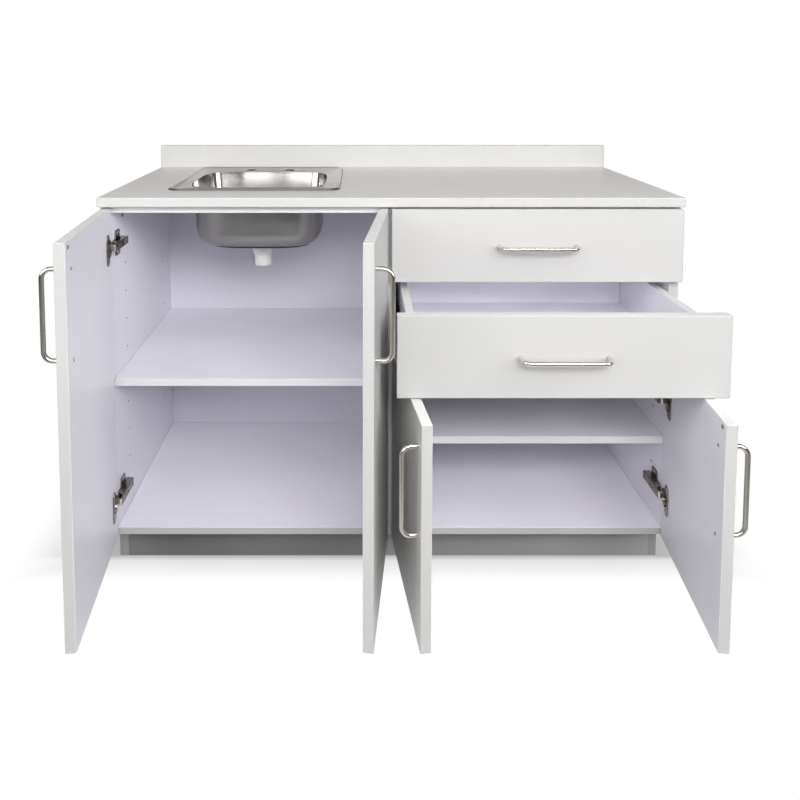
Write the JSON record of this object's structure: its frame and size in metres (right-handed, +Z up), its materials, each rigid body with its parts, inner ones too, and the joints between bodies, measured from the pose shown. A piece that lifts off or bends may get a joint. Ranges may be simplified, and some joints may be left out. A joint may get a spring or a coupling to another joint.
{
  "type": "sink base cabinet",
  "caption": "Base cabinet with a drop-in steel sink, laminate worktop and backsplash, doors on concealed hinges, sliding drawers and peg-held shelves.",
  "frame": {"origin": "on the floor, under the centre partition", "axes": "+X to the right along the front, +Y to the wall, +Z up"},
  "size_m": [1.2203, 0.7688, 0.8982],
  "materials": {
    "laminate": "white melamine",
    "front": "white laminate with matching edge band",
    "worktop": "light grey laminate",
    "inside": "white melamine",
    "nickel": "brushed nickel",
    "zinc": "nickel-plated pressed steel",
    "stainless": "satin stainless",
    "plastic": "white moulded"
  },
  "bodies": {
    "cabinet": {"back_panel": "inside", "backsplash": "worktop", "centre_partition": "laminate", "drain_nut": "plastic", "drain_strainer": "stainless", "drain_tailpiece": "plastic", "front_rail": "inside", "left_bottom_panel": "inside", "left_shelf": "inside", "left_short_door_lower_arm": "zinc", "left_short_door_upper_arm": "zinc", "left_side_panel": "laminate", "left_tall_door_lower_arm": "zinc", "left_tall_door_upper_arm": "zinc", "lower_drawer_left_channel": "zinc", "lower_drawer_right_channel": "zinc", "right_bottom_panel": "inside", "right_shelf": "inside", "right_short_door_lower_arm": "zinc", "right_short_door_upper_arm": "zinc", "right_side_panel": "laminate", "right_tall_door_lower_arm": "zinc", "right_tall_door_upper_arm": "zinc", "sink_bowl": "stainless", "toe_kick": "laminate", "upper_drawer_left_channel": "zinc", "upper_drawer_right_channel": "zinc", "worktop": "worktop"},
    "left_tall_door_leaf": {"left_tall_door": "front", "left_tall_door_pull": "nickel", "left_tall_door_upper_cup": "zinc", "left_tall_door_lower_cup": "zinc"},
    "right_tall_door_leaf": {"right_tall_door": "front", "right_tall_door_pull": "nickel", "right_tall_door_upper_cup": "zinc", "right_tall_door_lower_cup": "zinc"},
    "left_short_door_leaf": {"left_short_door": "front", "left_short_door_pull": "nickel", "left_short_door_upper_cup": "zinc", "left_short_door_lower_cup": "zinc"},
    "right_short_door_leaf": {"right_short_door": "front", "right_short_door_pull": "nickel", "right_short_door_upper_cup": "zinc", "right_short_door_lower_cup": "zinc"},
    "upper_drawer_box": {"upper_drawer_front": "front", "upper_drawer_left_side": "inside", "upper_drawer_right_side": "inside", "upper_drawer_back": "inside", "upper_drawer_bottom": "inside", "upper_drawer_pull": "nickel", "upper_drawer_left_runner": "zinc", "upper_drawer_right_runner": "zinc"},
    "lower_drawer_box": {"lower_drawer_front": "front", "lower_drawer_left_side": "inside", "lower_drawer_right_side": "inside", "lower_drawer_back": "inside", "lower_drawer_bottom": "inside", "lower_drawer_pull": "nickel", "lower_drawer_left_runner": "zinc", "lower_drawer_right_runner": "zinc"}
  },
  "joints": [
    {"name": "left_tall_door_hinge", "type": "hinge", "parent": "cabinet", "child": "left_tall_door_leaf", "pos_m": [-0.5976, -0.236, 0.45], "axis": [0, 0, -1], "range_deg": [-83.8, 13.2]},
    {"name": "right_tall_door_hinge", "type": "hinge", "parent": "cabinet", "child": "right_tall_door_leaf", "pos_m": [-0.012, -0.236, 0.45], "axis": [0, 0, 1], "range_deg": [-82.7, 0.8]},
    {"name": "left_short_door_hinge", "type": "hinge", "parent": "cabinet", "child": "left_short_door_leaf", "pos_m": [0.012, -0.236, 0.45], "axis": [0, 0, -1], "range_deg": [-83.4, 6.6]},
    {"name": "right_short_door_hinge", "type": "hinge", "parent": "cabinet", "child": "right_short_door_leaf", "pos_m": [0.5976, -0.236, 0.45], "axis": [0, 0, 1], "range_deg": [-83.4, 13.6]},
    {"name": "upper_drawer_slide", "type": "slide", "parent": "cabinet", "child": "upper_drawer_box", "axis": [0, -1, 0], "range_m": [0, 0.3]},
    {"name": "lower_drawer_slide", "type": "slide", "parent": "cabinet", "child": "lower_drawer_box", "axis": [0, -1, 0], "range_m": [-0.191, 0.109]}
  ]
}
